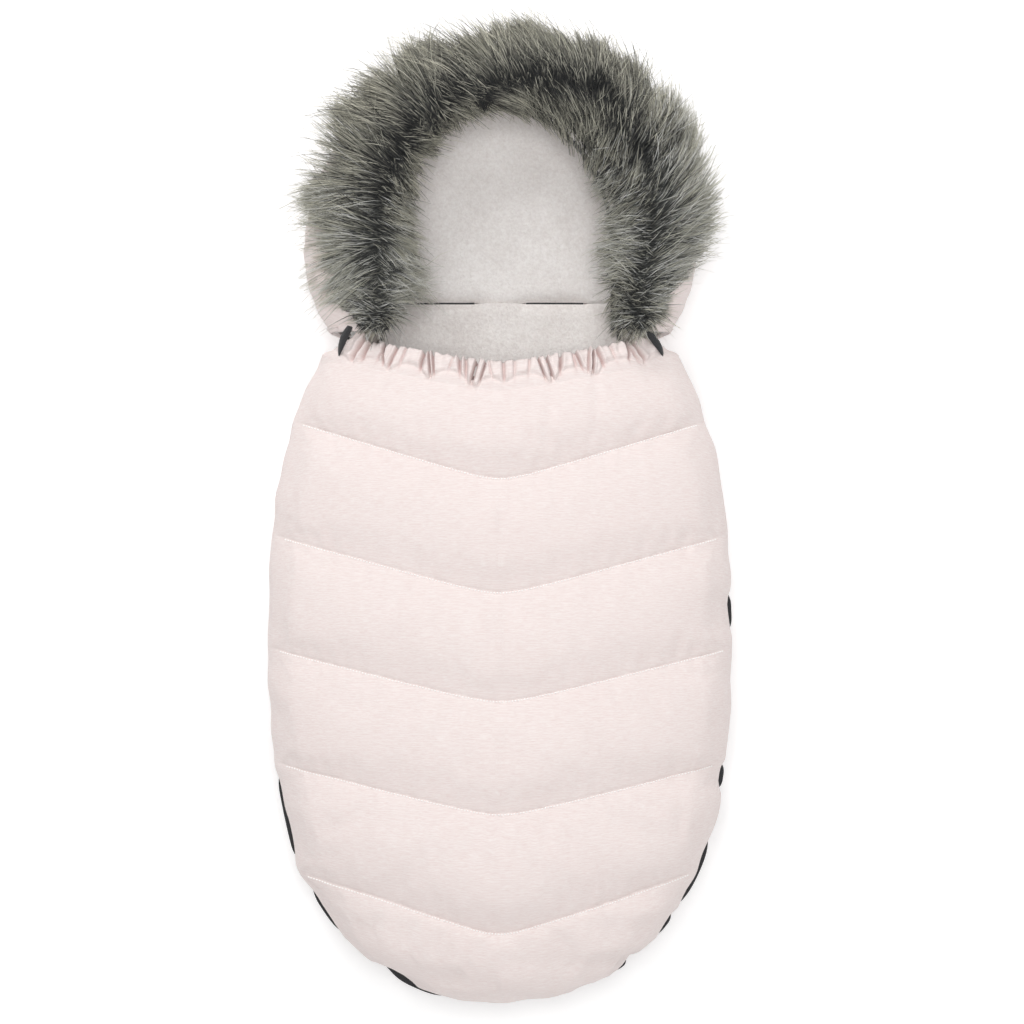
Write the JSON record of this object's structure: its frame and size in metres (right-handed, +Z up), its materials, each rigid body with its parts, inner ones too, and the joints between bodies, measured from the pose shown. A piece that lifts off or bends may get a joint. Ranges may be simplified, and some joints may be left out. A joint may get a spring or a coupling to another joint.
{
  "type": "stroller footmuff",
  "caption": "Padded footmuff for a stroller: quilted zip-on cover over a padded back tray, gathered hood with a fur trim.",
  "frame": {"origin": "a point on the flat underside of the back, on the middle line, 70 mm above the crotch strap's slot", "axes": "+Z up out of the back through the cover, +Y along the middle line towards the hood, +X to the right when seen from above with the hood at the top"},
  "size_m": [0.449, 0.951, 0.15],
  "materials": {
    "pink_melange": "matt heather weave",
    "grey_plush": "short brushed pile",
    "white_wadding": "soft fibre wadding",
    "black_tape": "woven tape and coil",
    "black_enamel": "satin enamel",
    "white_elastic": "knitted elastic",
    "grey_cord": "braided cord",
    "fur": "long faux fur",
    "fur_backing": "knitted backing",
    "non_slip": "coated non-slip fabric"
  },
  "bodies": {
    "back": {"base_panel_foot": "non_slip", "base_panel_seat": "non_slip", "back_padding_foot": "white_wadding", "back_padding_seat": "white_wadding", "back_lining": "grey_plush", "seat_seam_left": "pink_melange", "seat_seam_right": "pink_melange", "neck_seam_left": "pink_melange", "neck_seam_middle": "pink_melange", "neck_seam_right": "pink_melange", "side_wall_shell_left": "pink_melange", "side_wall_shell_toe": "pink_melange", "side_wall_shell_right": "pink_melange", "side_wall_padding": "white_wadding", "side_wall_lining": "grey_plush", "crotch_slot_binding": "pink_melange", "toe_tab": "black_tape", "zip_back_tape_left": "black_tape", "zip_back_tape_right": "black_tape", "zip_back_chain_left": "black_tape", "zip_back_chain_right": "black_tape", "zip_back_stop_left": "black_enamel", "zip_back_stop_right": "black_enamel"},
    "cover": {"cover_shell": "pink_melange", "cover_padding": "white_wadding", "cover_lining": "grey_plush", "cover_hem_band": "pink_melange", "cover_hem_elastic": "white_elastic", "zip_cover_tape_left": "black_tape", "zip_cover_tape_right": "black_tape", "zip_cover_chain_left": "black_tape", "zip_cover_chain_right": "black_tape", "zip_cover_stop_left": "black_enamel", "zip_cover_stop_right": "black_enamel"},
    "hood": {"hood_back_panel": "pink_melange", "hood_back_padding": "white_wadding", "hood_back_lining": "grey_plush", "hood_wall_shell": "pink_melange", "hood_wall_padding": "white_wadding", "hood_wall_lining": "grey_plush", "hood_rim_channel": "pink_melange", "hood_draw_cord": "grey_cord", "fur_band": "fur_backing", "fur_pile": "fur"},
    "left_slider": {"slider_left": "black_enamel"},
    "right_slider": {"slider_right": "black_enamel"},
    "left_pull": {"pull_left": "black_enamel"},
    "right_pull": {"pull_right": "black_enamel"}
  },
  "joints": [
    {"name": "cover_fold", "type": "hinge", "parent": "back", "child": "cover", "pos_m": [0, -0.4775, 0.045], "axis": [1, 0, 0], "range_deg": [0, 140]},
    {"name": "hood_fold", "type": "hinge", "parent": "back", "child": "hood", "pos_m": [0, 0.204, 0], "axis": [1, 0, 0], "range_deg": [-80, 0]},
    {"name": "slider_run_left", "type": "hinge", "parent": "back", "child": "left_slider", "pos_m": [0.507, -0.136, 0.045], "axis": [0, 0, 1], "range_deg": [0, 38]},
    {"name": "slider_run_right", "type": "hinge", "parent": "back", "child": "right_slider", "pos_m": [-0.507, -0.136, 0.045], "axis": [0, 0, -1], "range_deg": [0, 38]},
    {"name": "pull_swing_left", "type": "hinge", "parent": "left_slider", "child": "left_pull", "pos_m": [-0.15845, 0.15724, 0.045], "axis": [0, 0, -1], "range_deg": [0, 80]},
    {"name": "pull_swing_right", "type": "hinge", "parent": "right_slider", "child": "right_pull", "pos_m": [0.15845, 0.15724, 0.045], "axis": [0, 0, 1], "range_deg": [0, 80]}
  ]
}
